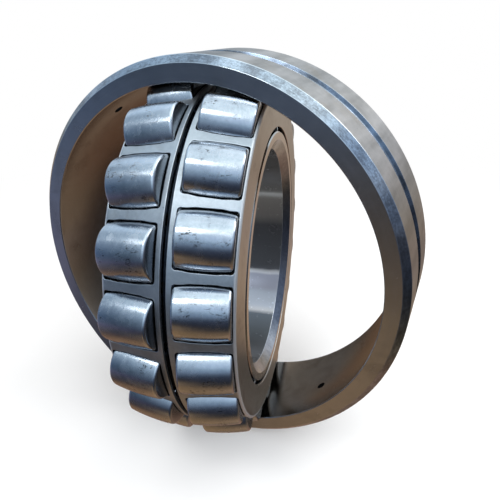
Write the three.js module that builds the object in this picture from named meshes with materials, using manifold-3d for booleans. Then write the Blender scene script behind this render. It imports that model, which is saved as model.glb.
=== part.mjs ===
// Double-row spherical roller bearing, 140 x 250 x 68 mm, with its inner
// assembly swivelled out of the outer ring.
//
// Millimetres, +Z up. The origin is the bearing centre, which is also the
// centre of the spherical raceway. The outer ring's axis is Y. The inner
// assembly (inner ring, guide ring, two cages and 38 barrel rollers) is built
// about Y, then turned about Z so that the +Y end of its axis leans towards +X.
//
// Profiles are lists of [radius, y]. Inboard is towards y = 0.

import * as THREE from 'three';
import { mergeVertices } from 'three/addons/utils/BufferGeometryUtils.js';
import Module from 'manifold-3d';

const wasm = await Module();
wasm.setup();

// ------------------------------------------------------------------- bearing
const RAD = Math.PI / 180;

const BORE_D = 140;
const OUTER_D = 250;
const WIDTH = 68; // both rings
const HALF_WIDTH = WIDTH / 2;
const SWIVEL_DEG = 78.335;

const RING_SEGMENTS = 64;
const WELD_TOLERANCE = 1e-4;

// ------------------------------------------------------------ roller layout
const ROLLERS_PER_ROW = 19;
const ROLLER_STEP_DEG = 360 / ROLLERS_PER_ROW;
const ROLLER_D = 30.4; // largest diameter
const ROLLER_HALF = 13.9; // half length

const ENVELOPE_R = 116.1; // sphere that the rollers' outer lines lie on
const CONTACT_ANGLE = 10 * RAD;
const PITCH_R = ENVELOPE_R - ROLLER_D / 2; // roller centre from bearing centre
const ROW_Y = PITCH_R * Math.sin(CONTACT_ANGLE);
const ROW_R = PITCH_R * Math.cos(CONTACT_ANGLE);

// side: which half of Y; firstDeg: first roller, from +Z about the inner axis
const ROWS = [
  { name: 'a', side: 1, firstDeg: 4.249 },
  { name: 'b', side: -1, firstDeg: 8.471 },
];

// ----------------------------------------------------------------- materials
const steel = ({ color, roughness }) =>
  new THREE.MeshStandardMaterial({ color, roughness, metalness: 0.9 });

const MATERIALS = {
  outerRing: steel({ color: 0x7c838a, roughness: 0.34 }),
  innerRing: steel({ color: 0x8a8178, roughness: 0.28 }),
  guideRing: steel({ color: 0x4a5058, roughness: 0.45 }),
  cage: steel({ color: 0xaab2b8, roughness: 0.5 }),
  roller: steel({ color: 0xc3c9cf, roughness: 0.16 }),
};

// ---------------------------------------------------------- geometry helpers
/** Signed volume, negative when the faces look inward. */
function signedVolume(geometry) {
  const { index, attributes } = geometry;
  const corners = [new THREE.Vector3(), new THREE.Vector3(), new THREE.Vector3()];
  let sum = 0;
  for (let i = 0; i < index.count; i += 3) {
    corners.forEach((corner, k) => {
      corner.fromBufferAttribute(attributes.position, index.getX(i + k));
    });
    sum += corners[0].dot(corners[1].cross(corners[2]));
  }
  return sum / 6;
}

/** Welds a geometry, drops its empty faces and turns the rest outward. */
function welded(geometry) {
  const bare = new THREE.BufferGeometry();
  bare.setAttribute('position', geometry.attributes.position.clone());
  bare.setIndex(geometry.index.clone());
  const result = mergeVertices(bare, WELD_TOLERANCE);

  const faces = [];
  const index = result.index;
  for (let i = 0; i < index.count; i += 3) {
    const face = [index.getX(i), index.getX(i + 1), index.getX(i + 2)];
    if (new Set(face).size === 3) faces.push(...face);
  }
  result.setIndex(faces);

  if (signedVolume(result) < 0) {
    for (let i = 0; i < faces.length; i += 3) {
      [faces[i], faces[i + 1]] = [faces[i + 1], faces[i]];
    }
    result.setIndex(faces);
  }
  result.computeVertexNormals();
  return result;
}

/** A solid of revolution about Y; an open profile must end on the axis. */
function revolve(profile, segments, closed = true) {
  const points = profile.map(([radius, y]) => new THREE.Vector2(radius, y));
  if (closed) points.push(points[0].clone());
  return welded(new THREE.LatheGeometry(points, segments));
}

/** Half a profile followed by its mirror image in y, in reverse order. */
function mirrored(half) {
  return [...half, ...half.map(([radius, y]) => [radius, -y]).reverse()];
}

/** Evenly spaced angles from middle + half down to middle - half. */
function arcAngles(middle, half, bands) {
  return Array.from(
    { length: bands + 1 },
    (_, i) => middle + half - (2 * half * i) / bands,
  );
}

function toManifold(geometry) {
  return new wasm.Manifold(
    new wasm.Mesh({
      numProp: 3,
      vertProperties: Float32Array.from(geometry.attributes.position.array),
      triVerts: Uint32Array.from(geometry.index.array),
    }),
  );
}

function fromManifold(solid) {
  const mesh = solid.getMesh();
  const geometry = new THREE.BufferGeometry();
  const position = new THREE.Float32BufferAttribute(mesh.vertProperties, 3);
  geometry.setAttribute('position', position);
  geometry.setIndex(Array.from(mesh.triVerts));
  geometry.computeVertexNormals();
  return geometry;
}

/** Subtracts every cutter from a solid. */
function cut(geometry, cutters) {
  let solid = toManifold(geometry);
  for (const cutter of cutters) solid = solid.subtract(toManifold(cutter));
  return fromManifold(solid);
}

// ---------------------------------------------------------------- outer ring
const RACEWAY_R = 116.6; // spherical raceway
const RACEWAY_BANDS = 8;
const RACEWAY_CHAMFER = 0.4; // between raceway and side faces
const OUTER_CHAMFER = 4;

const GROOVE_HALF = 5.3; // lubrication groove, half width at the outside
const GROOVE_LEAN = 1.2; // axial run of each groove wall
const GROOVE_DEPTH = 2.4;

const LUBE_HOLES = 4;
const LUBE_HOLE_R = 3;
const LUBE_HOLE_SEGMENTS = 12;
const LUBE_HOLE_DEG = -38.9; // first hole, from +Z towards +X
const DRILL_LENGTH = 24;
const DRILL_CENTRE_R = 120; // drill's mid length, from the ring axis

/** A radial drill for one lubrication hole. */
function lubeDrill(number) {
  const drill = new THREE.CylinderGeometry(
    LUBE_HOLE_R,
    LUBE_HOLE_R,
    DRILL_LENGTH,
    LUBE_HOLE_SEGMENTS,
  );
  drill.rotateX(Math.PI / 2); // along Z
  drill.translate(0, 0, DRILL_CENTRE_R);
  drill.rotateY((LUBE_HOLE_DEG + (360 / LUBE_HOLES) * number) * RAD);
  return welded(drill);
}

function outerRing() {
  const outside = OUTER_D / 2;
  const raceHalfAngle = Math.asin((HALF_WIDTH - RACEWAY_CHAMFER) / RACEWAY_R);
  const race = arcAngles(0, raceHalfAngle, RACEWAY_BANDS).map((angle) => [
    RACEWAY_R * Math.cos(angle),
    RACEWAY_R * Math.sin(angle),
  ]);
  const raceEdgeR = race[0][0];
  const profile = [
    ...race,
    ...mirrored([
      [raceEdgeR + RACEWAY_CHAMFER, -HALF_WIDTH],
      [outside - OUTER_CHAMFER, -HALF_WIDTH],
      [outside, -HALF_WIDTH + OUTER_CHAMFER],
      [outside, -GROOVE_HALF],
      [outside - GROOVE_DEPTH, -GROOVE_HALF + GROOVE_LEAN],
    ]),
  ];
  const drills = Array.from({ length: LUBE_HOLES }, (_, i) => lubeDrill(i));
  return cut(revolve(profile, RING_SEGMENTS), drills);
}

// ---------------------------------------------------------------- inner ring
const BORE_CHAMFER_R = 5.8; // radial size
const BORE_CHAMFER_Y = 5; // axial size
const LAND_R = 87.4; // centre land that carries the guide ring
const SHOULDER_R = 80.6; // turned-down ends
const SHOULDER_CHAMFER = 0.6;

const RACE_GAP = 0.35; // roller to inner raceway
const RACE_OVERRUN = 0.2; // raceway past each roller end
const RACE_BANDS = 4;

// Step from the raceway's outboard edge down to the shoulder
const LIP_FLAT = 0.5;
const LIP_SLOPE = 0.8; // axial run of the slope
const LIP_FOOT = 0.5; // small bevel at the bottom, radial and axial

function innerRing() {
  const bore = BORE_D / 2;
  // Each raceway follows the roller's underside, whose arc is centred at
  // twice the roller centre's distance from the bearing centre.
  const arcR = ENVELOPE_R + RACE_GAP;
  const halfAngle = Math.asin((ROLLER_HALF + RACE_OVERRUN) / ENVELOPE_R);
  const race = arcAngles(CONTACT_ANGLE, halfAngle, RACE_BANDS).map((angle) => [
    2 * ROW_R - arcR * Math.cos(angle),
    2 * ROW_Y - arcR * Math.sin(angle),
  ]);
  race[0][0] = LAND_R; // runs out into the centre land
  const [edgeR, edgeY] = race[RACE_BANDS];
  const footY = edgeY + LIP_FLAT + LIP_SLOPE;
  const half = [
    ...race,
    [edgeR, edgeY + LIP_FLAT],
    [SHOULDER_R + LIP_FOOT, footY],
    [SHOULDER_R, footY + LIP_FOOT],
    [SHOULDER_R, HALF_WIDTH - SHOULDER_CHAMFER],
    [SHOULDER_R - SHOULDER_CHAMFER, HALF_WIDTH],
    [bore + BORE_CHAMFER_R, HALF_WIDTH],
    [bore, HALF_WIDTH - BORE_CHAMFER_Y],
  ];
  return revolve(mirrored(half), RING_SEGMENTS);
}

// ---------------------------------------------------------------- guide ring
const GUIDE_IN_R = 88;
const GUIDE_OUT_R = 100.5;
const GUIDE_HALF_IN = 1; // half width at the inside radius
const GUIDE_HALF_OUT = 3.2; // half width near the outside radius
const GUIDE_CHAMFER = 0.5;

function guideRing() {
  const half = [
    [GUIDE_IN_R, -GUIDE_HALF_IN],
    [GUIDE_OUT_R - GUIDE_CHAMFER, -GUIDE_HALF_OUT],
    [GUIDE_OUT_R, -GUIDE_HALF_OUT + GUIDE_CHAMFER],
  ];
  return revolve(mirrored(half), RING_SEGMENTS);
}

// --------------------------------------------------------------------- cages
const CAGE_FACETS_PER_ROLLER = 3;
const CAGE_SHEET = 2.2; // radial thickness of the tapered wall

// The wall's outside tapers along the line through these two places.
const CAGE_IN_Y = 1.5; // inboard edge
const CAGE_IN_R = 108.5;
const CAGE_BEND_Y = 33.2;
const CAGE_BEND_R = 103.7;

// Bend from the wall into the inward flange
const BEND_LEAD = 1; // the wall stops this far inboard of CAGE_BEND_Y
const BEND_MIDDLE_R = CAGE_BEND_R - 0.35;
const BEND_MIDDLE_Y = CAGE_BEND_Y + 0.4;

const FLANGE_FACE_R = 102.3; // outer edge of the flat face
const FLANGE_BORE_R = 83.2;
const FLANGE_OUT_Y = 33.95;
const FLANGE_IN_Y = 32.05;

const POCKET_IN_Y = 4.25;
const POCKET_OUT_Y = 32.75;
const POCKET_WIDTH = 29.8; // leaves bars about 5 mm wide at mid length
const POCKET_FLOOR_R = 100.2; // inner face of the window cutter
const POCKET_DEPTH = 20;

/** The outside radius of the tapered wall at y. */
function cageOutsideR(y) {
  const slope = (CAGE_IN_R - CAGE_BEND_R) / (CAGE_BEND_Y - CAGE_IN_Y);
  return CAGE_IN_R - slope * (y - CAGE_IN_Y);
}

/** The box that punches one cage window. */
function pocketCutter(side, angleDeg) {
  const length = POCKET_OUT_Y - POCKET_IN_Y;
  const box = new THREE.BoxGeometry(POCKET_WIDTH, length, POCKET_DEPTH);
  box.translate(
    0,
    (side * (POCKET_IN_Y + POCKET_OUT_Y)) / 2,
    POCKET_FLOOR_R + POCKET_DEPTH / 2,
  );
  box.rotateY(angleDeg * RAD);
  return welded(box);
}

/** One pressed cage, with a window for each roller of its row. */
function cage({ side, firstDeg }) {
  const wallEndY = CAGE_BEND_Y - BEND_LEAD;
  const profile = [
    [cageOutsideR(CAGE_IN_Y), CAGE_IN_Y],
    [cageOutsideR(wallEndY), wallEndY],
    [BEND_MIDDLE_R, BEND_MIDDLE_Y],
    [FLANGE_FACE_R, FLANGE_OUT_Y],
    [FLANGE_BORE_R, FLANGE_OUT_Y],
    [FLANGE_BORE_R, FLANGE_IN_Y],
    [cageOutsideR(FLANGE_IN_Y) - CAGE_SHEET, FLANGE_IN_Y],
    [cageOutsideR(CAGE_IN_Y) - CAGE_SHEET, CAGE_IN_Y],
  ].map(([radius, y]) => [radius, side * y]);
  const shell = revolve(profile, CAGE_FACETS_PER_ROLLER * ROLLERS_PER_ROW);

  // Half a facet's turn centres a facet on every window.
  const halfFacetDeg = ROLLER_STEP_DEG / (2 * CAGE_FACETS_PER_ROLLER);
  shell.rotateY((firstDeg + halfFacetDeg) * RAD);

  const cutters = Array.from({ length: ROLLERS_PER_ROW }, (_, i) =>
    pocketCutter(side, firstDeg + ROLLER_STEP_DEG * i),
  );
  return cut(shell, cutters);
}

// ------------------------------------------------------------------- rollers
const ROLLER_CHAMFER = 1.2;
const ROLLER_BELT_HALF = 5; // half length of the straight middle band
const ROLLER_SEGMENTS = 16;

/** A barrel roller about Y, with flat ends and a small edge chamfer. */
function roller() {
  const barrelR = (y) => Math.sqrt(ENVELOPE_R ** 2 - y * y) - PITCH_R;
  const edgeY = ROLLER_HALF - ROLLER_CHAMFER;
  const half = [
    [0, -ROLLER_HALF],
    [barrelR(edgeY) - ROLLER_CHAMFER, -ROLLER_HALF],
    [barrelR(edgeY), -edgeY],
    [barrelR(ROLLER_BELT_HALF), -ROLLER_BELT_HALF],
  ];
  return revolve(mirrored(half), ROLLER_SEGMENTS, false);
}

/** Seats a full row of rollers, all sharing one geometry. */
function addRollerRow(parent, geometry, { name, side, firstDeg }) {
  for (let i = 0; i < ROLLERS_PER_ROW; i++) {
    const seat = new THREE.Group();
    // Carries +Z to the roller's own radius
    seat.rotation.y = (firstDeg + ROLLER_STEP_DEG * i) * RAD;
    parent.add(seat);

    const number = String(i + 1).padStart(2, '0');
    const mesh = addMesh(seat, `roller_${name}_${number}`, geometry, MATERIALS.roller);
    mesh.position.set(0, side * ROW_Y, ROW_R);
    mesh.rotation.x = -side * CONTACT_ANGLE; // outboard end dips towards the axis
  }
}

// ------------------------------------------------------------------ assembly
function addMesh(parent, name, geometry, material) {
  const mesh = new THREE.Mesh(geometry, material);
  mesh.name = name;
  parent.add(mesh);
  return mesh;
}

const bearing = new THREE.Group();
addMesh(bearing, 'outer_ring', outerRing(), MATERIALS.outerRing);

const innerAssembly = new THREE.Group();
innerAssembly.rotation.z = -SWIVEL_DEG * RAD;
bearing.add(innerAssembly);

addMesh(innerAssembly, 'inner_ring', innerRing(), MATERIALS.innerRing);
addMesh(innerAssembly, 'guide_ring', guideRing(), MATERIALS.guideRing);
for (const row of ROWS) {
  addMesh(innerAssembly, `cage_${row.name}`, cage(row), MATERIALS.cage);
}

const barrel = roller();
for (const row of ROWS) addRollerRow(innerAssembly, barrel, row);

export default bearing;
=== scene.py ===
"""Looks for a double-row spherical roller bearing standing on a pale floor.

The outer ring's axis is Y, with Z up and its centre at the origin. The inner ring, guide ring,
cages and rollers are swivelled together about Z. Pieces are drawn in millimetres about their
own Y axis, then placed in metres.
"""

import math
from functools import cached_property
from types import SimpleNamespace

import bmesh
import bpy
import numpy as np
from mathutils import Matrix, Vector


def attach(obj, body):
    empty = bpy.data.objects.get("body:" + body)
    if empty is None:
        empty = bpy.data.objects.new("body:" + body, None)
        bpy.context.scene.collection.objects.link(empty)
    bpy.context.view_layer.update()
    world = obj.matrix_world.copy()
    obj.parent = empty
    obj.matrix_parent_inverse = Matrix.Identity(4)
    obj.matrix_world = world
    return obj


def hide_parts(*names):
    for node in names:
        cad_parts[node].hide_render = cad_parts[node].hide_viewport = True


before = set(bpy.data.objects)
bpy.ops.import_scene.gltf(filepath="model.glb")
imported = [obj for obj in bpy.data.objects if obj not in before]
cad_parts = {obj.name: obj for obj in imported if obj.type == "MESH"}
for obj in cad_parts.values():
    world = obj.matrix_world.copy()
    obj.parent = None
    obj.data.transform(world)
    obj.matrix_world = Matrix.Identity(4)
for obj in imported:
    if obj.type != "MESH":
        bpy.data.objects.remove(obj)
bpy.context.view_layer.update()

# ------------------------------------------------------------------ dimensions
# Millimetres. These repeat the CAD's driving sizes.
MM = 0.001
SWIVEL = math.radians(78.335)
OUTER_R, HALF = 125.0, 34.0  # both rings are 2 * HALF wide
RACEWAY_R = 116.6
N_ROLLERS = 19
STEP = 2 * math.pi / N_ROLLERS
ENVELOPE_R, ROLLER_R, ROLLER_HALF = 116.1, 15.2, 13.9
ALPHA = math.radians(10.0)  # tilt of the rollers
PITCH = ENVELOPE_R - ROLLER_R
ROW_Y, ROW_R = PITCH * math.sin(ALPHA), PITCH * math.cos(ALPHA)
# name, side along Y, angle of the first roller, seed of the cage, seed of the first roller
ROWS = (
    ("a", 1, math.radians(4.249), 4.0, 0),
    ("b", -1, math.radians(8.471), 5.0, 31),
)

OUTER_FRAME = Matrix.Identity(4)
INNER_FRAME = Matrix.Rotation(-SWIVEL, 4, "Z")
WELD = 2e-6  # metres


# -------------------------------------------------------------- mesh building
class Skin:
    """Collects closed bands of quads, with a material zone per face and edge wear per point."""

    def __init__(self):
        self.points = np.zeros((0, 3))
        self.faces, self.zones, self.wear = [], [], []

    def band(self, points, zone, wear):
        """Adds rows of points, each row closed on itself. zone is per gap, wear is per row."""
        rows, cols = points.shape[:2]
        index = len(self.points) + np.arange(rows * cols).reshape(rows, cols)
        index = np.concatenate([index, index[:, :1]], 1)
        quads = np.stack([index[:-1, :-1], index[:-1, 1:], index[1:, 1:], index[1:, :-1]], -1)
        zones = np.broadcast_to(np.asarray(zone, int).reshape(-1, 1), quads.shape[:2])
        wears = np.broadcast_to(np.asarray(wear, float).reshape(-1, 1), (rows, cols))
        self.points = np.concatenate([self.points, points.reshape(-1, 3)])
        self.faces += quads.reshape(-1, 4).tolist()
        self.zones += zones.reshape(-1).tolist()
        self.wear += wears.reshape(-1).tolist()

    def cap(self, start, cols, centre, zone):
        """Closes the row that begins at point start with a fan."""
        hub = len(self.points)
        self.points = np.concatenate([self.points, [centre]])
        self.wear.append(0.0)
        self.faces += [[start + k, start + (k + 1) % cols, hub] for k in range(cols)]
        self.zones += [zone] * cols

    def mesh(self, name, with_wear=True):
        mesh = bpy.data.meshes.new(name)
        mesh.from_pydata((self.points * MM).tolist(), [], self.faces)
        mesh.polygons.foreach_set("material_index", np.array(self.zones, np.int32))
        if with_wear:
            store(mesh, "ed", self.wear)
        return mesh


def store(mesh, name, values):
    """Stores a float or a vector on every vertex."""
    values = np.array(values, np.float32)
    kind, field = ("FLOAT", "value") if values.ndim == 1 else ("FLOAT_VECTOR", "vector")
    attribute = mesh.attributes.new(name, kind, "POINT")
    attribute.data.foreach_set(field, values.ravel())


def weld(mesh):
    bm = bmesh.new()
    bm.from_mesh(mesh)
    bmesh.ops.remove_doubles(bm, verts=bm.verts, dist=WELD)
    bmesh.ops.recalc_face_normals(bm, faces=bm.faces)
    bm.to_mesh(mesh)
    bm.free()


def smooth(mesh):
    mesh.polygons.foreach_set("use_smooth", np.ones(len(mesh.polygons), bool))


def link_object(name, data):
    obj = bpy.data.objects.new(name, data)
    bpy.context.scene.collection.objects.link(obj)
    return obj


def place_piece(name, mesh, place, materials, seed):
    """Places a mesh. It keeps its own millimetres in lc, its seed in sd and its axis in ax."""
    count = len(mesh.vertices)
    own = np.zeros(count * 3, np.float32)
    mesh.vertices.foreach_get("co", own)
    store(mesh, "lc", (own / MM).reshape(-1, 3))
    store(mesh, "sd", np.full(count, seed))
    store(mesh, "ax", np.tile(np.array(place.to_3x3() @ Vector((0, 1, 0))), (count, 1)))
    mesh.transform(place)
    mesh.update()
    for material in materials:
        mesh.materials.append(material)
    return link_object(name, mesh)


def welded_piece(name, skin, materials, seed):
    """A welded, smooth piece of the inner assembly."""
    mesh = skin.mesh(name)
    weld(mesh)
    smooth(mesh)
    return place_piece(name, mesh, INNER_FRAME, materials, seed)


def rounded(corners, closed=True, arc_steps=5, guard=0.14):
    """Rounds the corners of a profile.

    Corners are (radius, y, rounding, zone of the stretch after). The result's rows are
    (radius, y, zone of the stretch after, wear). Guard points flank a rounding where they fit.
    """
    rows = []
    last = len(corners) - 1
    for i, (*corner, rounding, zone) in enumerate(corners):
        corner = np.array(corner, float)
        if rounding <= 0 or (not closed and i in (0, last)):
            rows.append((*corner, zone, 0.0))
            continue
        zone_before = corners[i - 1][3]
        back = np.array(corners[i - 1][:2], float) - corner
        ahead = np.array(corners[(i + 1) % len(corners)][:2], float) - corner
        back_len, ahead_len = np.linalg.norm(back), np.linalg.norm(ahead)
        back, ahead = back / back_len, ahead / ahead_len
        angle = math.acos(float(np.clip(back @ ahead, -1, 1)))
        room_back, room_ahead = 0.42 * back_len, 0.42 * ahead_len
        trim = min(rounding / math.tan(angle / 2), room_back, room_ahead)
        r = trim * math.tan(angle / 2)
        bisector = (back + ahead) / np.linalg.norm(back + ahead)
        centre = corner + bisector * r / math.sin(angle / 2)
        start, end = corner + back * trim, corner + ahead * trim
        if room_back > trim + guard:
            rows.append((*(start + back * guard), zone_before, 0.35))
        span = math.pi - angle
        for k in range(arc_steps + 1):
            w = k / arc_steps
            spoke = math.sin((1 - w) * span) * (start - centre)
            spoke = (spoke + math.sin(w * span) * (end - centre)) / math.sin(span)
            rows.append((*(centre + spoke), zone_before if w < 0.5 else zone, 1.0))
        if room_ahead > trim + guard:
            rows.append((*(end + ahead * guard), zone, 0.35))
    return np.array(rows)


def about_axis(radius, y, angle):
    """Points about Y. The angle starts at +Z and grows towards +X."""
    turned = np.broadcast_arrays(radius * np.sin(angle), y, radius * np.cos(angle))
    return np.stack(turned, -1)


def revolved(profile, segments, closed=True):
    """A skin made by turning a rounded profile about Y."""
    if closed:
        profile = np.vstack([profile, profile[:1]])
    radius, y, zone, wear = profile.T
    angle = np.arange(segments) * 2 * math.pi / segments
    skin = Skin()
    skin.band(about_axis(radius[:, None], y[:, None], angle), zone[:-1], wear)
    return skin


# ------------------------------------------------------------------ node tools
def hexa(code):
    """Linear RGBA from a display colour such as '8a7666'."""
    v = np.array([int(code[i : i + 2], 16) / 255 for i in (0, 2, 4)])
    v = np.where(v <= 0.04045, v / 12.92, ((v + 0.055) / 1.055) ** 2.4)
    return (float(v[0]), float(v[1]), float(v[2]), 1.0)


class Nodes:
    """Short calls for building a node tree. Values may be sockets or plain numbers."""

    def __init__(self, tree):
        self.tree = tree
        tree.nodes.clear()

    def new(self, kind, **props):
        node = self.tree.nodes.new(kind)
        for name, value in props.items():
            setattr(node, name, value)
        return node

    def put(self, socket, value):
        if hasattr(value, "is_output"):
            self.tree.links.new(value, socket)
        else:
            socket.default_value = value

    def fill(self, node, *values):
        """Fills a node's first inputs and returns its first output."""
        for socket, value in zip(node.inputs, values):
            self.put(socket, value)
        return node.outputs[0]

    def attribute(self, name, output="Vector"):
        return self.new("ShaderNodeAttribute", attribute_name=name).outputs[output]

    def math(self, op, *values, clamp=False):
        return self.fill(self.new("ShaderNodeMath", operation=op, use_clamp=clamp), *values)

    def add(self, a, b):
        return self.math("ADD", a, b)

    def times(self, a, b):
        return self.math("MULTIPLY", a, b)

    def centred(self, value, gain):
        """A 0 to 1 value made to swing about 0."""
        return self.times(self.math("SUBTRACT", value, 0.5), gain)

    def split(self, vector):
        node = self.new("ShaderNodeSeparateXYZ")
        self.put(node.inputs[0], vector)
        return node.outputs

    def join(self, x, y, z):
        return self.fill(self.new("ShaderNodeCombineXYZ"), x, y, z)

    def noise(self, vector, scale, detail, rough, w=0.0, distort=0.0):
        node = self.new("ShaderNodeTexNoise", noise_dimensions="4D")
        self.put(node.inputs["Vector"], vector)
        self.put(node.inputs["W"], w)
        node.inputs["Scale"].default_value = scale
        node.inputs["Detail"].default_value = detail
        node.inputs["Roughness"].default_value = rough
        node.inputs["Distortion"].default_value = distort
        return node.outputs["Fac"]

    def ramp(self, fac, stops):
        """A linear ramp through (position, colour) stops."""
        node = self.new("ShaderNodeValToRGB")
        elements = node.color_ramp.elements
        while len(elements) > 1:
            elements.remove(elements[-1])
        elements[0].position, elements[0].color = stops[0]
        for position, colour in stops[1:]:
            elements.new(position).color = colour
        return self.fill(node, fac)

    def rescale(self, value, old, new, **props):
        node = self.new("ShaderNodeMapRange", **props)
        self.put(node.inputs["Value"], value)
        for side, a, b in zip(("Min", "Max"), old, new):
            node.inputs["From " + side].default_value = a
            node.inputs["To " + side].default_value = b
        return node.outputs[0]

    def step(self, value, zero, one):
        """A smooth step between the values where it is 0 and 1, in either order."""
        rising = zero < one
        old, new = ((zero, one), (0.0, 1.0)) if rising else ((one, zero), (1.0, 0.0))
        return self.rescale(value, old, new, interpolation_type="SMOOTHSTEP")

    def mix(self, fac, a, b, blend="MIX"):
        node = self.new("ShaderNodeMix", data_type="RGBA", blend_type=blend)
        for i, value in ((0, fac), (6, a), (7, b)):
            self.put(node.inputs[i], value)
        return node.outputs[2]

    def bump(self, height, distance, normal=None):
        node = self.new("ShaderNodeBump")
        node.inputs["Strength"].default_value = 1.0
        node.inputs["Distance"].default_value = distance
        self.put(node.inputs["Height"], height)
        if normal is not None:
            self.put(node.inputs["Normal"], normal)
        return node.outputs[0]


# -------------------------------------------------------------- steel finishes
# Every option and its usual value. Scales are per millimetre, strengths are 0 where absent.
STEEL = dict(
    metallic=1.0,
    roughness=0.25,
    rough_spread=0.08,
    anisotropy=0.0,  # ground round the axis, so reflections spread along it
    grain="round",  # "round" runs round the axis, "flat" is even
    grain_scale=1.0,
    grain_bump=4e-6,  # metres
    scratches=0.3,
    mottle=0.25,  # large and medium cloudiness
    mottle_scale=0.05,
    fleck=0.3,  # fine spotting of the tone
    fleck_scale=0.9,
    bands=0.0,  # broad patches drawn out along the axis
    streaks=0.0,  # short tool marks round the axis
    sweep=None,  # painted reflections: a tint by degrees round the axis
    stain=0.0,
    stain_colour="6b4a30",
    stain_scale=0.04,
    blotch=0.0,  # dull patches
    specks=0.0,
    speck_colour="1c1612",
    speck_scale=0.55,
    dirt=0.0,  # dried oil
    edge_light=0.3,  # brightening of worn edges
    rim=0.0,  # painted highlight: brightening of the turned-over end of the sheet
)


class SteelNodes(Nodes):
    """One steel finish, laid up layer by layer in the piece's own millimetres."""

    def __init__(self, tree, look):
        super().__init__(tree)
        self.look = look
        output = self.new("ShaderNodeOutputMaterial")
        self.shader = self.new("ShaderNodeBsdfPrincipled")
        self.put(output.inputs[0], self.shader.outputs[0])
        self.place = self.attribute("lc")
        self.seed = self.attribute("sd", "Fac")
        self.wear = self.attribute("ed", "Fac")
        grain, size = self.grain(), look.grain_scale
        self.lines = self.pattern(scale=size, detail=4, rough=0.7, at=grain)
        self.broad = self.pattern(scale=0.22 * size, detail=3, rough=0.6, at=grain)
        size = look.mottle_scale
        self.large = self.pattern(scale=size, detail=4, rough=0.6, distort=0.6)
        self.medium = self.pattern(scale=size * 5, detail=4, rough=0.65, distort=0.3)
        self.pits = self.pattern(scale=look.fleck_scale, detail=3, rough=0.7, seed=1.9)

    @cached_property
    def xyz(self):
        return self.split(self.place)

    @cached_property
    def radius(self):
        x, _, z = self.xyz
        return self.math("SQRT", self.add(self.times(x, x), self.times(z, z)))

    @cached_property
    def angle(self):
        return self.math("ARCTAN2", self.xyz[0], self.xyz[2])

    def pattern(self, scale, detail, rough, at=None, seed=0.0, distort=0.0):
        """Noise that differs from piece to piece, and from layer to layer by seed."""
        w = self.add(self.seed, seed) if seed else self.seed
        return self.noise(self.place if at is None else at, scale, detail, rough, w, distort)

    def stretched(self, across, along):
        """The place scaled across and along the axis."""
        scales = (across, along, across)
        return self.join(*(self.times(v, s) for v, s in zip(self.xyz, scales)))

    def round_axis(self, spread, along):
        """Coordinates that change slowly round the axis."""
        sine = self.times(self.math("SINE", self.angle), spread)
        return self.join(sine, along, self.times(self.math("COSINE", self.angle), spread))

    def grain(self):
        if self.look.grain == "round":
            along = self.add(self.times(self.xyz[1], 5.0), self.times(self.radius, 3.1))
            return self.round_axis(2.2, along)
        node = self.new("ShaderNodeVectorMath", operation="MULTIPLY")
        return self.fill(node, self.place, (2.2, 2.2, 2.2))

    def thin_line(self, noise, zero, one):
        """A line where the noise passes through its middle value."""
        return self.step(self.math("ABSOLUTE", self.math("SUBTRACT", noise, 0.5)), zero, one)

    def cover(self, amount, colour, rougher):
        """Lays a colour over the steel and roughens it."""
        self.colour = self.mix(amount, self.colour, hexa(colour))
        self.roughen(amount, rougher)

    def roughen(self, amount, rougher):
        self.roughness = self.add(self.roughness, self.times(amount, rougher))

    def lay_tone(self, light, dark):
        look = self.look
        layers = [
            (self.large, 3.2 * look.mottle),
            (self.medium, 1.8 * look.mottle),
            (self.pits, look.fleck),
            (self.lines, 0.5),
        ]
        if look.bands > 0:
            at = self.stretched(across=0.075, along=0.012)
            band = self.pattern(scale=1, detail=3, rough=0.6, at=at, seed=6.6)
            layers.append((band, look.bands))
        if look.streaks > 0:
            at = self.round_axis(34.0, self.times(self.add(self.xyz[1], self.radius), 0.9))
            marks = self.pattern(scale=1, detail=4, rough=0.7, at=at, seed=8.8)
            layers.append((marks, look.streaks))
        tone = self.centred(*layers[0])
        for noise, strength in layers[1:]:
            tone = self.add(tone, self.centred(noise, strength))
        tone = self.math("ADD", tone, 0.5, clamp=True)
        self.colour = self.mix(tone, hexa(dark), hexa(light))

    def lay_painted_reflections(self):
        """Painted reflections: uneven light and dark bands round the axis, multiplied into the
        colour.
        """
        wander = self.centred(self.pattern(scale=0.05, detail=3, rough=0.6), 0.05)
        turn = self.add(self.angle, wander)
        turn = self.rescale(turn, old=(math.pi, -math.pi), new=(0, 1))
        stops = [((deg + 180) / 360, hexa(code)) for deg, code in self.look.sweep.items()]
        self.colour = self.mix(1.0, self.colour, self.ramp(turn, stops), "MULTIPLY")

    def lay_roughness(self):
        self.roughness = self.look.roughness
        for noise, share in ((self.broad, 2), (self.medium, 1.8), (self.pits, 1.2)):
            swing = self.centred(noise, self.look.rough_spread * share)
            self.roughness = self.add(self.roughness, swing)

    def lay_stain(self):
        look = self.look
        stain = self.pattern(
            scale=look.stain_scale, detail=5, rough=0.62, seed=7.3, distort=1.2
        )
        stain = self.times(self.step(stain, zero=0.5, one=0.68), look.stain)
        self.cover(stain, look.stain_colour, rougher=0.12)

    def lay_blotch(self):
        blotch = self.pattern(scale=0.13, detail=5, rough=0.65, seed=3.1, distort=0.8)
        blotch = self.step(blotch, zero=0.5, one=0.66)
        self.roughen(self.times(blotch, self.look.blotch), 0.14)

    def lay_specks(self):
        look = self.look
        speck = self.pattern(scale=look.speck_scale, detail=3, rough=0.7, seed=11.7)
        speck = self.step(speck, zero=0.69, one=0.75)
        where = self.pattern(scale=look.speck_scale * 0.16, detail=2, rough=0.6, seed=5.9)
        where = self.step(where, zero=0.46, one=0.6)
        specks = self.times(self.times(speck, where), look.specks)
        self.cover(specks, look.speck_colour, rougher=0.35)

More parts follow.
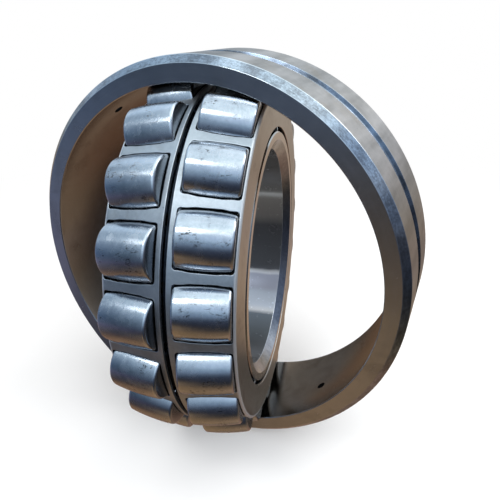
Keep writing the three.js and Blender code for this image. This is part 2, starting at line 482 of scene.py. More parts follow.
    def lay_dirt(self):
        """Thin broken streaks of dried oil along the axis, and a few smears."""
        at = self.stretched(across=0.42, along=0.07)
        line = self.pattern(scale=1, detail=5, rough=0.68, at=at, seed=4.4, distort=0.8)
        line = self.thin_line(line, zero=0.028, one=0.006)
        where = self.pattern(scale=0.075, detail=2, rough=0.5, seed=9.1)
        where = self.step(where, zero=0.54, one=0.62)
        broken = self.pattern(scale=0.45, detail=4, rough=0.7, seed=1.3)
        broken = self.step(broken, zero=0.47, one=0.56)
        streaks = self.times(self.times(line, where), broken)
        at = self.stretched(across=0.34, along=0.11)
        smear = self.pattern(scale=1, detail=6, rough=0.72, at=at, seed=14.2, distort=0.4)
        smear = self.step(smear, zero=0.67, one=0.74)
        dirt = self.math("MAXIMUM", streaks, self.times(smear, 0.75))
        dirt = self.math("MULTIPLY", dirt, self.look.dirt, clamp=True)
        self.cover(dirt, "18120e", rougher=0.3)

    def lay_edges(self):
        """Worn edges are lighter and smoother."""
        light = self.times(self.wear, self.look.edge_light)
        self.colour = self.mix(light, self.colour, hexa("eef1f4"))
        self.roughen(self.wear, -0.05)

    def lay_painted_rim_highlight(self):
        """Painted highlight where the sheet is turned over, by distance along the axis."""
        rim = self.step(self.math("ABSOLUTE", self.xyz[1]), zero=32.2, one=33.3)
        self.cover(self.times(rim, self.look.rim), "ffffff", rougher=0.25)

    def relief(self):
        look, height = self.look, self.lines
        if look.scratches > 0:
            at = self.stretched(across=0.6, along=0.05)
            line = self.pattern(scale=1.6, detail=3, rough=0.6, at=at, seed=2.2, distort=1.5)
            line = self.thin_line(line, zero=0.012, one=0.0)
            height = self.add(height, self.times(line, look.scratches))
        normal = self.bump(height, look.grain_bump)
        return self.bump(self.medium, look.grain_bump * 6, normal)

    def finish(self):
        inputs = self.shader.inputs
        self.put(inputs["Base Color"], self.colour)
        self.put(inputs["Roughness"], self.math("MAXIMUM", self.roughness, 0.05))
        inputs["Metallic"].default_value = self.look.metallic
        if self.look.anisotropy > 0:
            inputs["Anisotropic"].default_value = self.look.anisotropy
            node = self.new(
                "ShaderNodeVectorTransform",
                vector_type="VECTOR",
                convert_from="OBJECT",
                convert_to="WORLD",
            )
            self.put(inputs["Tangent"], self.fill(node, self.attribute("ax")))
        self.put(inputs["Normal"], self.relief())


def steel(name, light, dark, **changes):
    """A steel finish between a light and a dark tone. Changes are options of STEEL."""
    look = SimpleNamespace(**{**STEEL, **changes})
    material = bpy.data.materials.new(name)
    material.use_nodes = True
    nodes = SteelNodes(material.node_tree, look)
    nodes.lay_tone(light, dark)
    if look.sweep:
        nodes.lay_painted_reflections()
    nodes.lay_roughness()
    if look.stain > 0:
        nodes.lay_stain()
    if look.blotch > 0:
        nodes.lay_blotch()
    if look.specks > 0:
        nodes.lay_specks()
    if look.dirt > 0:
        nodes.lay_dirt()
    nodes.lay_edges()
    if look.rim > 0:
        nodes.lay_painted_rim_highlight()
    nodes.finish()
    return material


# Painted reflections in the bore: a tint by degrees round the bore, from the top away from the
# viewer
BORE_PAINTED_REFLECTIONS = {
    -180: "3b4044", -150: "4c4844", -120: "3c3c44", -90: "6a7480", -60: "939fa9",
    -30: "524d47", 0: "39332e", 40: "39332d", 62: "4c4640", 70: "6a655e", 72: "d4d2cc",
    75: "7a736b", 88: "6a645e", 94: "1c1d25", 121: "1c1d25", 124: "34363f", 126: "ffffff",
    128: "b2b6c6", 137: "bcc0d0", 140: "d8e4f2", 150: "e4eefa", 153: "ffffff",
    156: "66717b", 168: "454f56", 180: "3b4044",
}

OUTER_OD = steel(
    "outer_ring_od", "b4aca7", "675e55", roughness=0.34, rough_spread=0.05, anisotropy=0.6,
    grain_bump=2e-6, mottle=0.22, mottle_scale=0.03, fleck=0.4, bands=3.0, streaks=0.5,
    stain=0.35, stain_colour="867762", specks=0.7, speck_scale=0.4,
)
OUTER_FACE = steel(
    "outer_ring_face", "d0d2d5", "a2a5aa", rough_spread=0.05, grain_scale=0.8,
    grain_bump=2.5e-6, scratches=0.6, mottle_scale=0.03, stain=0.25, stain_colour="8a867f",
    specks=0.7, speck_scale=0.4,
)
OUTER_CHAMFER = steel(
    "outer_ring_chamfer", "a8b6c6", "212e44", roughness=0.18, anisotropy=0.5,
    grain_scale=0.7, grain_bump=2e-6, mottle=0.3, mottle_scale=0.07, fleck=2.0,
    fleck_scale=1.0, bands=3.2, streaks=2.2, stain=0.6, stain_colour="27344a",
    stain_scale=0.11, specks=0.9, speck_colour="1a2338", speck_scale=0.5, edge_light=0.7,
)
OUTER_GROOVE = steel(
    "outer_ring_groove", "7f92aa", "1c2838", roughness=0.26, rough_spread=0.10,
    grain_bump=5e-6, scratches=0.0, mottle=0.4, mottle_scale=0.06, bands=3.6,
)
OUTER_RACEWAY = steel(
    "outer_ring_raceway", "8f8881", "6d655d", roughness=0.22, rough_spread=0.05,
    anisotropy=0.7, grain_scale=0.7, grain_bump=1.2e-6, scratches=0.2, mottle=0.2,
    mottle_scale=0.03, stain=0.3, stain_colour="5f5043", specks=0.6, speck_scale=0.35,
)
# Near black hole walls: painted shade inside the lube holes.
OUTER_HOLE = steel(
    "outer_ring_hole", "2a2c30", "17181b", roughness=0.5, rough_spread=0.1, grain="flat",
    scratches=0.0, mottle=0.2, mottle_scale=0.1,
)
INNER_RACEWAY = steel(
    "inner_ring_raceway", "b4b2ae", "8d8b88", roughness=0.16, rough_spread=0.05,
    grain_scale=0.8, grain_bump=1.5e-6, mottle=0.2,
)
INNER_FACE = steel(
    "inner_ring_face", "e2d3c8", "b5a294", roughness=0.26, rough_spread=0.06,
    grain_bump=3e-6,
)
INNER_CHAMFER = steel(
    "inner_ring_chamfer", "b9bfc9", "6d7280", roughness=0.16, grain_scale=1.4,
    grain_bump=5e-6, mottle=0.5, mottle_scale=0.08, fleck=0.9, specks=0.6,
)
# The bore's light and dark bands are painted reflections, drawn into its colour by angle round
# the bore.
INNER_BORE = steel(
    "inner_ring_bore", "f4f8fd", "e9eef6", metallic=0.3, roughness=0.28, rough_spread=0.03,
    anisotropy=0.9, grain="flat", grain_scale=0.5, grain_bump=0.0, scratches=0.0,
    mottle=0.1, mottle_scale=0.03, fleck=0.1, sweep=BORE_PAINTED_REFLECTIONS, edge_light=0.2,
)
# Dark navy: painted shade of the narrow gap between the two cages, where the guide ring sits.
GUIDE_STEEL = steel(
    "guide_ring_steel", "56687e", "1d2836", roughness=0.36, rough_spread=0.12,
    grain_scale=0.7, mottle=0.8, mottle_scale=0.08,
)
# The white band at the cage's bend (rim) is a painted highlight.
CAGE_SHEET = steel(
    "cage_sheet", "ccd1d5", "a3a9af", roughness=0.44, grain="flat", grain_scale=1.6,
    grain_bump=9e-6, scratches=0.25, mottle=0.3, fleck=0.8, fleck_scale=0.8, stain=0.25,
    stain_colour="8b857d", specks=0.95, speck_colour="14110f", speck_scale=0.33,
    edge_light=0.25, rim=0.8,
)
# Window walls darker than the sheet: painted shade in the gaps round the rollers.
CAGE_CUT = steel(
    "cage_cut_edge", "4b5057", "26292e", roughness=0.5, grain="flat", grain_scale=1.4,
    grain_bump=8e-6, scratches=0.0, mottle=0.4, mottle_scale=0.1, edge_light=0.1,
)
CAGE_FLANGE = steel(
    "cage_flange", "cdc3ba", "a3978c", roughness=0.34, grain_bump=5e-6, fleck=0.6,
    stain=0.35, stain_colour="86756a", specks=0.7, edge_light=0.35,
)
ROLLER_BARREL = steel(
    "roller_barrel", "d6dbe1", "a6adb7", roughness=0.225, rough_spread=0.06,
    anisotropy=0.85, grain_scale=1.3, grain_bump=2.2e-6, scratches=0.25, mottle=0.35,
    mottle_scale=0.06, fleck=0.6, fleck_scale=0.7, blotch=0.8, specks=0.45,
    speck_scale=0.30, dirt=0.95,
)
ROLLER_END = steel(
    "roller_end", "9aa1aa", "666d77", roughness=0.26, rough_spread=0.06, grain_scale=1.6,
    grain_bump=3e-6, scratches=0.2, mottle=0.2, mottle_scale=0.08, fleck=0.6,
)

# ------------------------------------------------------------------ outer ring
CHAMFER = 4.0
GROOVE_R = OUTER_R - 2.4
GROOVE_FLOOR, GROOVE_MOUTH = 4.1, 5.3  # half widths
LIP = 0.4  # break between the raceway and the faces
LUBE_R, LUBE_ANGLE, N_LUBE = 3.0, math.radians(-38.9), 4
DRILL_R, DRILL_LENGTH = 120, 24  # radius of a drill's middle, and its length
OUTER_STEELS = [OUTER_RACEWAY, OUTER_FACE, OUTER_CHAMFER, OUTER_OD, OUTER_GROOVE, OUTER_HOLE]
HOLE_ZONE = 5


def outer_profile():
    edge = math.asin((HALF - LIP) / RACEWAY_R)
    face_r = math.sqrt(RACEWAY_R**2 - (HALF - LIP) ** 2) + LIP
    steps = 44
    race = []
    for i in range(steps + 1):
        a = edge - 2 * edge * i / steps
        race.append([RACEWAY_R * math.cos(a), RACEWAY_R * math.sin(a), 0.0, 0])
    race[0][2] = race[-1][2] = 0.25
    race[-1][3] = 1
    # radius, y, rounding, zone of the stretch after
    return rounded(race + [
        (face_r, -HALF, 0.3, 1),
        (OUTER_R - CHAMFER, -HALF, 0.45, 2),
        (OUTER_R, CHAMFER - HALF, 0.7, 3),
        (OUTER_R, -GROOVE_MOUTH, 0.35, 4),
        (GROOVE_R, -GROOVE_FLOOR, 0.8, 4),
        (GROOVE_R, GROOVE_FLOOR, 0.8, 4),
        (OUTER_R, GROOVE_MOUTH, 0.35, 3),
        (OUTER_R, HALF - CHAMFER, 0.7, 2),
        (OUTER_R - CHAMFER, HALF, 0.45, 1),
        (face_r, HALF, 0.3, 1),
    ])


def lube_drills():
    """Four cylinders through the groove."""
    bm = bmesh.new()
    for i in range(N_LUBE):
        turn = Matrix.Rotation(LUBE_ANGLE + 2 * math.pi / N_LUBE * i, 4, "Y")
        bmesh.ops.create_cone(
            bm,
            cap_ends=True,
            segments=40,
            radius1=LUBE_R * MM,
            radius2=LUBE_R * MM,
            depth=DRILL_LENGTH * MM,
            matrix=turn @ Matrix.Translation((0, 0, DRILL_R * MM)),
        )
    mesh = bpy.data.meshes.new("drills")
    bm.to_mesh(mesh)
    bm.free()
    for material in OUTER_STEELS:
        mesh.materials.append(material)
    zones = np.full(len(mesh.polygons), HOLE_ZONE, np.int32)
    mesh.polygons.foreach_set("material_index", zones)
    return link_object("drills", mesh)


def profile_wear(mesh, profile):
    """Wear of each vertex, from the nearest point of the profile."""
    co = np.zeros(len(mesh.vertices) * 3)
    mesh.vertices.foreach_get("co", co)
    x, y, z = co.reshape(-1, 3).T / MM
    radial = np.hypot(x, z)[:, None] - profile[:, 0]
    nearest = np.argmin(radial**2 + (y[:, None] - profile[:, 1]) ** 2, axis=1)
    return profile[nearest, 3]


def sharpen(mesh, limit):
    """Sharp only where a hole meets the groove and the raceway."""
    bm = bmesh.new()
    bm.from_mesh(mesh)
    for edge in bm.edges:
        folded = len(edge.link_faces) == 2 and edge.calc_face_angle(0.0) > limit
        edge.smooth = not folded
    bm.to_mesh(mesh)
    bm.free()


def outer_ring():
    profile = outer_profile()
    raw_mesh = revolved(profile, 288).mesh("outer_ring_raw", with_wear=False)
    for material in OUTER_STEELS:
        raw_mesh.materials.append(material)
    weld(raw_mesh)
    raw = link_object("outer_ring_raw", raw_mesh)
    drills = lube_drills()
    cut = raw.modifiers.new("holes", "BOOLEAN")
    cut.operation, cut.solver, cut.object = "DIFFERENCE", "EXACT", drills
    depsgraph = bpy.context.evaluated_depsgraph_get()
    mesh = bpy.data.meshes.new_from_object(raw.evaluated_get(depsgraph))
    for obj in (raw, drills):
        bpy.data.objects.remove(obj)
    mesh.name = "outer_ring_fine"
    # the zones are kept aside while the materials are laid anew
    zones = np.zeros(len(mesh.polygons), np.int32)
    mesh.polygons.foreach_get("material_index", zones)
    mesh.materials.clear()
    store(mesh, "ed", profile_wear(mesh, profile))
    smooth(mesh)
    sharpen(mesh, limit=math.radians(50))
    ring = place_piece("outer_ring_fine", mesh, OUTER_FRAME, OUTER_STEELS, seed=1.0)
    ring.data.polygons.foreach_set("material_index", zones)
    return ring


# -------------------------------------------------------- inner and guide rings
BORE_R = 70.0
RACE_GAP = 0.35  # between the rollers and the inner raceway
END_GAP = 0.2  # the raceway's extra length at each end of a roller


def inner_ring():
    r = ENVELOPE_R + RACE_GAP
    half = math.asin((ROLLER_HALF + END_GAP) / ENVELOPE_R)
    race = []
    for i in range(25):
        a = ALPHA + half - 2 * half * i / 24
        race.append([2 * ROW_R - r * math.cos(a), 2 * ROW_Y - r * math.sin(a), 0.0, 0])
    race[0][2] = 0.3
    race[-1][2] = 0.15
    end_r, end_y = race[-1][:2]
    # the +Y half: radius, y, rounding, zone of the stretch after
    side = race + [
        (end_r, end_y + 0.5, 0.15, 0),
        (81.1, end_y + 1.3, 0.3, 0),
        (80.6, end_y + 1.8, 0.2, 0),
        (80.6, HALF - 0.6, 0.2, 0),
        (80.0, HALF, 0.25, 1),
        (75.8, HALF, 0.4, 2),
        (BORE_R, HALF - 5.0, 0.5, 3),
    ]
    # mirrored, a point is followed by the stretch that came before it
    mirror = [(s[0], -s[1], s[2], side[max(i - 1, 0)][3]) for i, s in enumerate(side)]
    skin = revolved(rounded(side + mirror[::-1]), 256)
    steels = [INNER_RACEWAY, INNER_FACE, INNER_CHAMFER, INNER_BORE]
    return welded_piece("inner_ring_fine", skin, steels, seed=2.0)


def guide_ring():
    # radius, y, rounding
    side = [(88.0, -1.0, 0.3), (100.0, -3.2, 0.2), (100.5, -2.7, 0.2)]
    mirror = [(r, -y, rounding) for r, y, rounding in reversed(side)]
    profile = rounded([(*corner, 0) for corner in side + mirror])
    return welded_piece("guide_ring_fine", revolved(profile, 192), [GUIDE_STEEL], seed=3.0)


# ----------------------------------------------------------------------- cages
# A coned sheet with a window for each roller, bent inwards to a flat flange at its outboard
# end. "along" is arc length over the outer face from the inboard rim, "depth" is into the sheet.
SHEET = 2.2
CUT_ROUND = 0.32
CONE_Y, CONE_R = 1.5, 108.5  # inboard rim
SLOPE = (CONE_R - 103.7) / (33.2 - CONE_Y)
BEND_Y, BEND_Y_INSIDE = 32.0, 31.95
FLANGE_OUT_Y, FLANGE_IN_Y, FLANGE_R = 33.95, 32.3, 83.2
CONE_LEN, BEND_LEN = BEND_Y - CONE_Y, 3.0
SIDE = 26  # quads along each side of a window
CORNER_QUADS = 4  # quads in half a window corner
WINDOW_IN, WINDOW_OUT, WINDOW_HALF = 4.25, 32.7, 14.4
WINDOW_BULGE, WINDOW_CORNER = 0.55, 1.6


def cone_r(y):
    return CONE_R - SLOPE * (y - CONE_Y)


def bezier(p0, p1, p2, u):
    return p0 * (1 - u) ** 2 + 2 * p1 * u * (1 - u) + p2 * u**2


def cage_point(along, depth):
    """(radius, y) of points of the sheet, in a frame where y grows outboard."""
    along = np.asarray(along, float)
    u = np.clip((along - CONE_LEN) / BEND_LEN, 0, 1)

    def face(bend_y, flange_y, inset, bend_mid_r, bend_end_r):
        y = CONE_Y + np.minimum(along, CONE_LEN) * (bend_y - CONE_Y) / CONE_LEN
        bend_r = bezier(cone_r(bend_y) - inset, bend_mid_r, bend_end_r, u)
        r = np.where(along < CONE_LEN, cone_r(y) - inset, bend_r)
        return r, np.where(along < CONE_LEN, y, bezier(bend_y, flange_y, flange_y, u))

    outer_r, outer_y = face(BEND_Y, FLANGE_OUT_Y, 0, 103.6, 101.9)
    inside_mid_r = cone_r(FLANGE_IN_Y) - SHEET
    inner_r, inner_y = face(BEND_Y_INSIDE, FLANGE_IN_Y, SHEET, inside_mid_r, 101.2)
    f = np.asarray(depth, float) / SHEET
    return outer_r * (1 - f) + inner_r * f, outer_y * (1 - f) + inner_y * f


def along_at(y):
    """Arc length where the outer face reaches y."""
    u = 1 - np.sqrt(np.clip((FLANGE_OUT_Y - y) / (FLANGE_OUT_Y - BEND_Y), 0, 1))
    return np.where(y < BEND_Y, y - CONE_Y, CONE_LEN + u * BEND_LEN)


def smoothstep(low, high, value):
    t = np.clip((value - low) / (high - low), 0, 1)
    return t * t * (3 - 2 * t)


def window_outline(grow):
    """x and y of a grown window, SIDE points a side, starting in the middle of a corner."""
    low, high = WINDOW_IN + WINDOW_CORNER, WINDOW_OUT - WINDOW_CORNER
    across = WINDOW_HALF - WINDOW_CORNER
    centres = np.array([(-across, low), (across, low), (across, high), (-across, high)])
    r = WINDOW_CORNER + grow
    t = np.linspace(0, 1, SIDE - 2 * CORNER_QUADS + 1)[:-1, None]

    def half_corner(centre, start, end):
        a = np.radians(np.linspace(start, end, CORNER_QUADS + 1))[:-1]
        return centre + r * np.stack([np.cos(a), np.sin(a)], -1)

    outline = []
    for i, outward in enumerate(((0, -1), (1, 0), (0, 1), (-1, 0))):
        start, end, turn = centres[i], centres[(i + 1) % 4], 270 + 90 * i
        outline += [
            half_corner(start, turn - 45, turn),
            start + r * np.array(outward) + (end - start) * t,
            half_corner(end, turn, turn + 45),
        ]
    x, y = np.concatenate(outline).T
    # the two sides bulge outwards between the corners
    bulge = smoothstep(WINDOW_IN + 3.5, WINDOW_IN + 8.5, y)
    bulge = bulge * (1 - smoothstep(WINDOW_OUT - 8.5, WINDOW_OUT - 3.5, y))
    return x + np.sign(x) * WINDOW_BULGE * bulge * smoothstep(0.9 * across, across, abs(x)), y


def on_window(grow, depth):
    """Angle, arc length, radius and y of a grown window outline at a depth."""
    x, y = window_outline(grow)
    along = along_at(y)
    r, y = cage_point(along, depth)
    return np.arcsin(x / r), along, r, y


def window_rows():
    """Rows of (angle, radius, y) from the sector's border in the outer face, through the
    window, to its border in the inner face, with the wear of each row."""
    half = STEP / 2
    t = np.linspace(0, 1, SIDE + 1)[:-1]
    turn = -half + 2 * half * t
    border_angle = np.concatenate([turn, np.full(SIDE, half), -turn, np.full(SIDE, -half)])
    start, end = CUT_ROUND, CONE_LEN + BEND_LEN
    cone = np.linspace(start, CONE_LEN, SIDE - 5)[:-1]
    knots = np.concatenate([cone, np.linspace(CONE_LEN, end, 7)])  # closer round the bend
    border_along = np.concatenate(
        [np.full(SIDE, start), knots[:-1], np.full(SIDE, end), knots[:0:-1]]
    )

    def in_face(shares, depth):
        """Rows between the window (share 0) and the border (share 1)."""
        angle, along, _, _ = on_window(CUT_ROUND, depth)
        return [
            (angle * (1 - w) + border_angle * w,
             *cage_point(along * (1 - w) + border_along * w, depth))
            for w in shares
        ]

    rows = in_face((1.0, 0.85, 0.68, 0.5, 0.32, 0.16, 0.06, 0.0), 0.0)
    wear = [0, 0, 0, 0, 0, 0, 0.45, 1.0]
    # grow, depth, wear down through the window's cut
    for grow, depth, row_wear in (
        (CUT_ROUND * 0.5, CUT_ROUND * 0.134, 1.0),
        (CUT_ROUND * 0.134, CUT_ROUND * 0.5, 1.0),
        (0.0, CUT_ROUND, 0.6),
        (0.0, 0.5 * SHEET, 0.0),
        (0.0, SHEET - CUT_ROUND, 0.3),
        (CUT_ROUND * 0.293, SHEET - CUT_ROUND * 0.293, 0.5),
    ):
        angle, _, r, y = on_window(grow, depth)
        rows.append((angle, r, y))
        wear.append(row_wear)
    rows += in_face((0.0, 0.15, 0.5, 1.0), SHEET)
    return np.array(rows), wear + [0.3, 0, 0, 0]


def rim_profile():
    """Inboard rim, from the outer face round to the inner face: radius and y, then wear."""
    e = CUT_ROUND
    # arc length, depth
    stations = [(e, 0.0)]
    for a in (math.radians(30), math.radians(60)):
        stations.append((e * (1 - math.sin(a)), e * (1 - math.cos(a))))
    stations += [(0.0, e), (0.0, SHEET / 2), (0.0, SHEET - e)]
    stations += [(e * 0.293, SHEET - e * 0.293), (e, SHEET)]
    return [cage_point(*s) for s in stations], [1, 1, 1, 0.6, 0, 0.4, 0.4, 0.2]


def flange_profile():
    """Flange face, its bore and its inner face: radius and y, then wear."""
    end, r = CONE_LEN + BEND_LEN, FLANGE_R
    points = [cage_point(end, 0.0)]
    points += [(x, FLANGE_OUT_Y) for x in (101.2, 97, 92, 87, r + 0.6, r + 0.35)]
    points += [(r + 0.1, FLANGE_OUT_Y - 0.1), (r, FLANGE_OUT_Y - 0.35)]
    points += [(r, 33.0), (r, 32.6), (r + 0.1, 32.4)]
    points += [(x, FLANGE_IN_Y) for x in (r + 0.3, 90, 96)] + [cage_point(end, SHEET)]
    return points, [0, 0, 0, 0, 0, 0.3, 1, 1, 0.6, 0, 0.4, 0.4, 0.3, 0, 0, 0]


def cage(name, sign, first, seed):
    skin = Skin()
    rows, wear = window_rows()
    angle, r, y = rows[:, 0], rows[:, 1], rows[:, 2]
    zones = [0] * 9 + [2] * 5 + [0] * 3
    for i in range(N_ROLLERS):
        skin.band(about_axis(r, sign * y, first + STEP * i + angle), zones, wear)
    turn = first - STEP / 2 + np.arange(N_ROLLERS * SIDE) * STEP / SIDE
    for (points, wear), zone in ((rim_profile(), 0), (flange_profile(), 1)):
        r, y = np.array(points, float).T[:, :, None]
        skin.band(about_axis(r, sign * y, turn), zone, wear)
    return welded_piece(name, skin, [CAGE_SHEET, CAGE_FLANGE, CAGE_CUT], seed)


# --------------------------------------------------------------------- rollers
BARREL_HALF_STATIONS = [0.9, 2.7, 4.6, 6.4, 8.2, 9.8, ROLLER_HALF]
BARREL_ROUND = 1.5
BARREL_SEGMENTS = 72
SPIN_PER_SEED = 1.7  # turns each roller about its own axis


def barrel():
    """The skin shared by all rollers, with every face turned outwards."""
    body = []
    for y in [-s for s in reversed(BARREL_HALF_STATIONS)] + BARREL_HALF_STATIONS:
        r = math.sqrt(ENVELOPE_R**2 - y * y) - (ENVELOPE_R - ROLLER_R)
        body.append([r, y, 0.0, 0])
    body[0][2] = body[-1][2] = BARREL_ROUND
    body[-1][3] = 1
    start = [(r, -ROLLER_HALF, 0.0, 1) for r in (2.0, 7.0)]
    end = [(r, ROLLER_HALF, 0.0, 1) for r in (7.0, 2.0)]
    profile = rounded(start + body + end, closed=False, arc_steps=6, guard=0.2)
    skin = revolved(profile, BARREL_SEGMENTS, closed=False)
    last_row = (len(profile) - 1) * BARREL_SEGMENTS
    skin.cap(0, BARREL_SEGMENTS, (0, -ROLLER_HALF, 0), zone=1)
    skin.cap(last_row, BARREL_SEGMENTS, (0, ROLLER_HALF, 0), zone=1)

    def outwards(face):
        a, b, c = skin.points[face[:3]]
        return np.cross(b - a, c - a) @ skin.points[face].mean(0) > 0

    skin.faces = [face if outwards(face) else face[::-1] for face in skin.faces]
    return skin


def roller(name, skin, sign, angle, seed):
    mesh = skin.mesh(name)
    smooth(mesh)
    place = (
        INNER_FRAME
        @ Matrix.Rotation(angle, 4, "Y")
        @ Matrix.Translation((0, sign * ROW_Y * MM, ROW_R * MM))
        @ Matrix.Rotation(-sign * ALPHA, 4, "X")
        @ Matrix.Rotation(seed * SPIN_PER_SEED, 4, "Y")
    )
    return place_piece(name, mesh, place, [ROLLER_BARREL, ROLLER_END], seed)


# ------------------------------------------------------------- build and mount
def mount(obj, node):
    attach(obj, node)
    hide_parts(node)


mount(outer_ring(), "outer_ring")
mount(inner_ring(), "inner_ring")
mount(guide_ring(), "guide_ring")
for row, sign, first, cage_seed, _ in ROWS:
    mount(cage(f"cage_{row}_fine", sign, first, cage_seed), f"cage_{row}")
roller_skin = barrel()
for row, sign, first, _, row_seed in ROWS:
    for i in range(N_ROLLERS):
        node = f"roller_{row}_{i + 1:02d}"
        seed = 10.0 + i * 1.37 + row_seed
        piece = roller(node + "_fine", roller_skin, sign, first + STEP * i, seed)
        mount(piece, node)


# ----------------------------------------------------------------------- floor
def floor_material():
    """Pale and matt, turning to a white glow far from the bearing."""
    material = bpy.data.materials.new("pale_floor")
    material.use_nodes = True
    k = Nodes(material.node_tree)
    output = k.new("ShaderNodeOutputMaterial")
    matt = k.new("ShaderNodeBsdfPrincipled")
    matt.inputs["Roughness"].default_value = 0.9
    matt.inputs["Specular IOR Level"].default_value = 0.0
    position = k.new("ShaderNodeNewGeometry").outputs["Position"]
    distance = k.new("ShaderNodeVectorMath", operation="LENGTH")
    k.put(distance.inputs[0], position)
    far = k.step(distance.outputs["Value"], zero=0.35, one=0.8)  # metres
    tone = k.noise(position, scale=9.0, detail=3.0, rough=0.5)
    pale, paler = (0.90, 0.90, 0.90, 1), (0.95, 0.95, 0.95, 1)
    k.put(matt.inputs["Base Color"], k.mix(tone, pale, paler))
    glow = k.fill(k.new("ShaderNodeEmission"), (1, 1, 1, 1))
    k.put(output.inputs[0], k.fill(k.new("ShaderNodeMixShader"), far, matt.outputs[0], glow))
    return material


def build_floor():
    mesh = bpy.data.meshes.new("floor")
    bm = bmesh.new()
    bmesh.ops.create_grid(bm, x_segments=8, y_segments=8, size=6.0)
    bm.to_mesh(mesh)
    bm.free()
    floor = bpy.data.objects.new("floor", mesh)
    floor.location = (0, 0, -OUTER_R * MM - 0.0002)
    bpy.context.scene.collection.objects.link(floor)
    mesh.materials.append(floor_material())
    floor.visible_glossy = False


build_floor()

# ----------------------------------------------------------------------- world
# What the steel reflects: colour by elevation in degrees, in sectors of the reflected ray.
# Left is -X, right is +X, back is +Y. FRONT faces -Y on the +X side, MIDDLE just left of it.
FRONT = {
    -90: "7a6450", -75: "745e4a", -65: "685441", -56: "58483a", -48: "3f362f", -41: "2a292b",
    -33: "23252b", -25: "232731", -17: "272c38", -10: "2c3240", -4: "364050", 1: "465262",
    5: "576577", 10: "65768a", 16: "728599", 23: "889daf", 30: "9eb1c5", 37: "a8bbcf",
    44: "b8cadc", 51: "ccdce8", 57: "e2f0f6", 64: "f0fbff", 72: "e8f6fa", 79: "d2e3ea",
    85: "bfd2dc", 90: "bfd2dc",
}
MIDDLE = {
    -90: "745d45", -60: "755e44", -45: "75604a", -38: "725e4a", -33: "68573f", -28: "54463a",
    -24: "433a30", -19: "393531", -14: "35373b", -9: "3c4755", -3: "4a5666", 5: "5f6c7d",
    15: "738494", 27: "8798a8", 39: "a6bac9", 51: "bccddb", 63: "c9dae6", 80: "dcebf2",
}
LEFT = {
    -90: "7a6048", -60: "745b46", -54: "664f3e", -50: "57453a", -46: "433632", -41: "352f32",
    -36: "2f3037", -30: "2e3038", -24: "31323e", -18: "38394a", -12: "353a4a", -6: "333d4c",
    0: "313e4c", 6: "33424f", 12: "3a4a59", 18: "455666", 24: "536475", 30: "637588",
    36: "748696", 42: "8395a3", 48: "93a6b5", 60: "a2b5c4", 90: "b7c8d4",
}
FAR_LEFT = {
    -90: "4a4038", -45: "5e5655", -30: "666372", -22: "64647a", -14: "586376", -6: "4a5a74",
    0: "40526c", 6: "445770", 12: "4f6177", 20: "62748a", 30: "76889a", 40: "8496a6",
    50: "8fa1b0", 70: "a8b8c6", 90: "b7c6d2",
}
BACK = {
    -90: "5f5145", -70: "6b584b", -58: "785e4f", -50: "7a5e4c", -42: "786050", -34: "857463",
    -28: "948473", -22: "8f827a", -14: "887b6e", -8: "938d83", -3: "a7a4a0", 2: "b9bbbe",
    8: "b0b6bc", 14: "b8c1c9", 20: "bec9d1", 28: "c0ccd5", 40: "c9d6df", 55: "d6e3eb",
    75: "d3e2ea", 90: "dce8ef",
}
BACK_LEFT = {
    -90: "5f4a3e", -50: "745a4b", -38: "6c5748", -30: "715947", -22: "7c6550", -14: "745d4b",
    -6: "6f665c", 2: "777f86", 10: "8a949e", 20: "93a0ad", 35: "a9bccd", 50: "b5cadd",
    90: "c3d1dc",
}
RIGHT = {
    -90: "6a5d50", -54: "6b5f4e", -46: "584e40", -38: "3b352e", -30: "302e2d", -22: "282a2e",
    -14: "2b2e36", -6: "33363f", 2: "454952", 10: "505969", 18: "677384", 24: "8b95a3",
    30: "8d9db0", 38: "7f90a4", 46: "8596aa", 54: "93a5b8", 62: "a3b4c5", 72: "a9bac8",
    90: "c3d1dc",
}


def reflected_studio(k):
    direction = k.new("ShaderNodeTexCoord").outputs["Generated"]
    x, y, z = k.split(direction)
    height = k.rescale(z, old=(-1, 1), new=(0, 1))

    def by_height(table):
        stops = [((math.sin(math.radians(deg)) + 1) / 2, hexa(c)) for deg, c in table.items()]
        return k.ramp(height, stops)

    studio = k.mix(k.step(x, zero=0.06, one=-0.05), by_height(FRONT), by_height(MIDDLE))
    studio = k.mix(k.step(x, zero=-0.22, one=-0.4), studio, by_height(LEFT))
    back = k.mix(k.step(x, zero=-0.25, one=-0.5), by_height(BACK), by_height(BACK_LEFT))
    studio = k.mix(k.step(y, zero=-0.1, one=0.25), studio, back)
    far_left = k.times(k.step(x, zero=-0.62, one=-0.72), k.step(y, zero=0.3, one=0.0))
    studio = k.mix(far_left, studio, by_height(FAR_LEFT))
    studio = k.mix(k.step(x, zero=0.5, one=0.75), studio, by_height(RIGHT))
    clutter = k.noise(direction, scale=3.2, detail=3.0, rough=0.5, distort=0.4)
    dim, bright = (0.84, 0.84, 0.84, 1), (1.16, 1.16, 1.16, 1)
    return k.mix(1.0, studio, k.ramp(clutter, [(0.3, dim), (0.7, bright)]), "MULTIPLY")


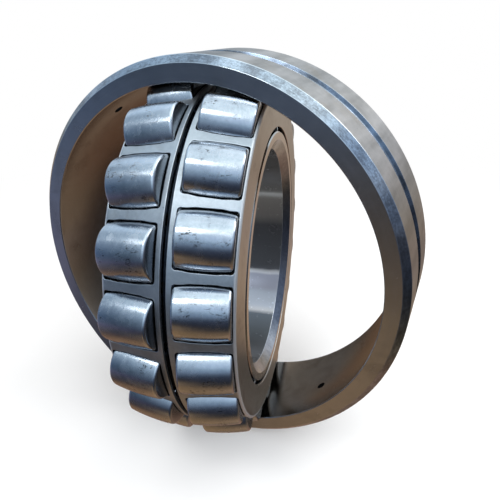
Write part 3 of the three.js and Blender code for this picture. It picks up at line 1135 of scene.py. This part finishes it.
def build_world():
    """White to every ray but the glossy ones, which see the studio."""
    world = bpy.data.worlds.new("studio")
    bpy.context.scene.world = world
    world.use_nodes = True
    k = Nodes(world.node_tree)
    output = k.new("ShaderNodeOutputWorld")
    studio = k.fill(k.new("ShaderNodeBackground"), reflected_studio(k), 1.75)
    white = k.fill(k.new("ShaderNodeBackground"), (1, 1, 1, 1), 1.0)
    glossy = k.new("ShaderNodeLightPath").outputs["Is Glossy Ray"]
    k.put(output.inputs[0], k.fill(k.new("ShaderNodeMixShader"), glossy, white, studio))


build_world()


# ---------------------------------------------------------------------- lights
def softbox(name, where, target, size, power, colour):
    """A rectangular light aimed at a target. Metres and watts."""
    light = bpy.data.lights.new(name, "AREA")
    light.shape = "RECTANGLE"
    light.size, light.size_y = size
    light.energy, light.color = power, colour
    box = bpy.data.objects.new(name, light)
    box.location = where
    box.rotation_mode = "QUATERNION"
    box.rotation_quaternion = (Vector(target) - Vector(where)).to_track_quat("-Z", "Y")
    bpy.context.scene.collection.objects.link(box)
    return box


softbox(
    "key", where=(-0.13, -0.62, 0.92), target=(0, 0, 0), size=(0.34, 0.24), power=1.5,
    colour=(0.97, 0.99, 1.0),
)
softbox(
    "fill", where=(0.7, 0.5, 0.9), target=(0, 0, 0), size=(0.8, 0.5), power=3.0,
    colour=(1.0, 0.98, 0.95),
)
side_box = softbox(
    "side", where=(0.45, -0.30, 0.25), target=(0, 0.02, -0.02), size=(0.3, 0.3), power=2.1,
    colour=(0.94, 0.97, 1.0),
)
side_box.visible_glossy = False  # it only lifts the bore and must not sparkle in the edges


# ------------------------------------------------------------------ the camera
def build_camera():
    data = bpy.data.cameras.new("camera")
    data.sensor_width = 36.0
    data.lens = 33.56424
    data.shift_x, data.shift_y = 0.02253, 0.05586
    data.clip_start, data.clip_end = 0.01, 60
    camera = bpy.data.objects.new("camera", data)
    right = (0.90273683, 0.42939248, -0.0262357)
    up = (-0.18251616, 0.43751221, 0.8804947)
    behind = (0.38955624, -0.79006655, 0.47332946)
    pose = Matrix((right, up, behind)).transposed().to_4x4()
    pose.translation = (0.13574336, -0.25439760, 0.13582758)
    camera.matrix_world = pose
    bpy.context.scene.collection.objects.link(camera)
    bpy.context.scene.camera = camera


build_camera()

scene = bpy.context.scene
scene.view_settings.view_transform = "Standard"
scene.view_settings.look = "None"
scene.cycles.use_denoising = True
scene.cycles.max_bounces = 10
scene.cycles.glossy_bounces = 8
scene.cycles.sample_clamp_indirect = 6.0
